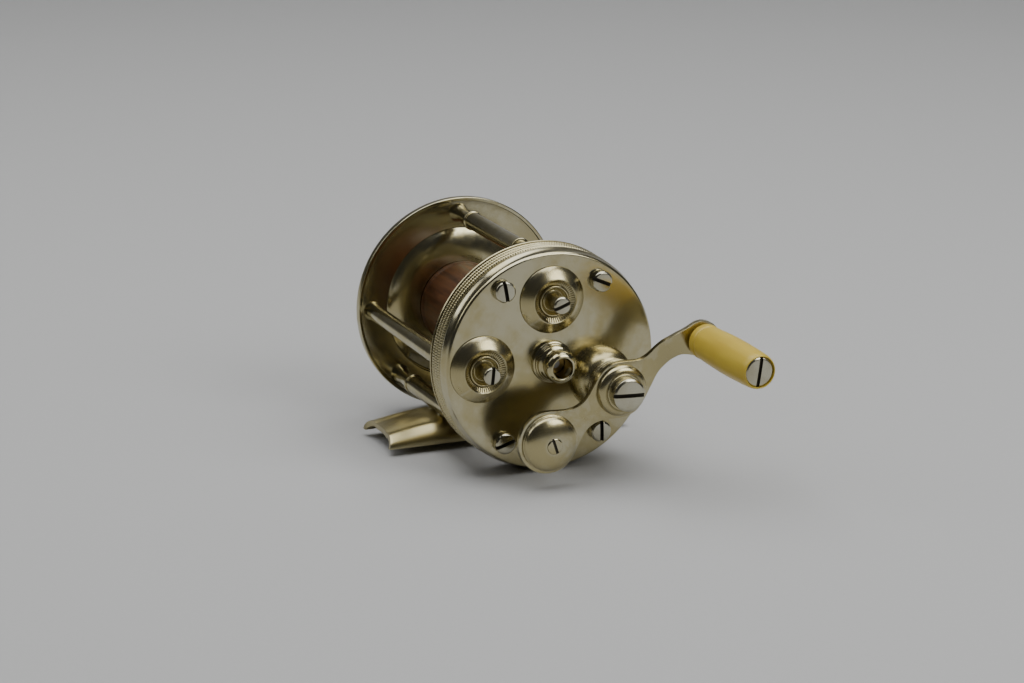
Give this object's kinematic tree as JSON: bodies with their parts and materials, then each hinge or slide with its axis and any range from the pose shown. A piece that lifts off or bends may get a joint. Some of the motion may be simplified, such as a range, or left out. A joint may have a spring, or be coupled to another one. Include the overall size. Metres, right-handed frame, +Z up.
{
  "type": "fishing reel",
  "caption": "Multiplying bait-casting fishing reel with a crank, side plates, pillars, geared spool, sliding click and drag buttons, and an arched rod foot.",
  "frame": {"origin": "centre of the bounding box at its bottom, on the surface that the two plate rims stand on", "axes": "+X along the spool axis towards the crank, +Y along the foot away from the click button, +Z up"},
  "size_m": [0.1054, 0.0639, 0.0508],
  "materials": {
    "nickel_silver": "aged polished german silver with a warm tarnish",
    "screw_steel": "polished screw heads, dark in the slots",
    "steel": "ground steel",
    "brass": "machined",
    "ivory": "yellowed ivory-like celluloid, half gloss",
    "arbor_wood": "dark brown, dull"
  },
  "bodies": {
    "frame": {"head_plate": "nickel_silver", "head_band": "nickel_silver", "head_cover": "nickel_silver", "cover_screw_upper_right": "screw_steel", "cover_screw_upper_left": "screw_steel", "cover_screw_lower_left": "screw_steel", "cover_screw_lower_right": "screw_steel", "head_bearing_cap": "nickel_silver", "tail_bearing_cap": "nickel_silver", "head_bush": "brass", "tail_bush": "brass", "tail_plate": "nickel_silver", "tail_rim": "nickel_silver", "tail_screw_top": "screw_steel", "tail_screw_front": "screw_steel", "tail_screw_rear": "screw_steel", "tail_screw_foot_front": "screw_steel", "tail_screw_foot_rear": "screw_steel", "pillar_top": "nickel_silver", "pillar_front": "nickel_silver", "pillar_rear": "nickel_silver", "pillar_foot_front": "nickel_silver", "pillar_foot_rear": "nickel_silver", "foot": "nickel_silver", "foot_screw_front_1": "screw_steel", "foot_screw_front_2": "screw_steel", "foot_screw_rear_1": "screw_steel", "foot_screw_rear_2": "screw_steel", "crank_boss": "nickel_silver"},
    "crank": {"crank_shaft": "steel", "main_gear": "brass", "crank_collar": "nickel_silver", "crank_arm": "nickel_silver", "crank_washer": "nickel_silver", "crank_screw": "screw_steel", "counterweight": "nickel_silver", "counterweight_screw": "screw_steel", "knob_spindle": "steel", "knob_screw": "screw_steel"},
    "knob": {"knob": "ivory"},
    "spool": {"spool_shaft": "steel", "pinion": "brass", "click_ratchet": "steel", "head_flange": "nickel_silver", "tail_flange": "nickel_silver", "arbor": "arbor_wood"},
    "click_button": {"click_button": "nickel_silver", "click_button_screw": "screw_steel", "click_slide": "steel", "click_spring": "steel"},
    "click_pawl": {"click_pawl": "steel"},
    "drag_button": {"drag_button": "nickel_silver", "drag_button_screw": "screw_steel", "drag_slide": "steel", "drag_spring": "steel", "drag_shoe": "brass"}
  },
  "joints": [
    {"name": "crank_turn", "type": "hinge", "parent": "frame", "child": "crank", "pos_m": [0.01114, 0.00975, 0.02037], "axis": [1, 0, 0], "continuous": true},
    {"name": "spool_spin", "type": "hinge", "parent": "frame", "child": "spool", "pos_m": [-0.02061, -0.00219, 0.0254], "axis": [1, 0, 0], "continuous": true},
    {"name": "knob_spin", "type": "hinge", "parent": "crank", "child": "knob", "pos_m": [0.03939, 0.02768, 0.03072], "axis": [1, 0, 0], "continuous": true},
    {"name": "click_slide", "type": "slide", "parent": "frame", "child": "click_button", "axis": [0, 1, 0], "range_m": [0, 0.0024]},
    {"name": "click_pawl_tilt", "type": "hinge", "parent": "click_button", "child": "click_pawl", "pos_m": [0.00569, -0.01509, 0.0254], "axis": [1, 0, 0], "range_deg": [-8, 8], "stiffness_Nm_per_rad": 0.002},
    {"name": "drag_slide", "type": "slide", "parent": "frame", "child": "drag_button", "axis": [0, 0, 1], "range_m": [0, 0.0024]}
  ],
  "couplings": [
    {"joint": "spool_spin", "follows": "crank_turn", "ratio": -4}
  ]
}
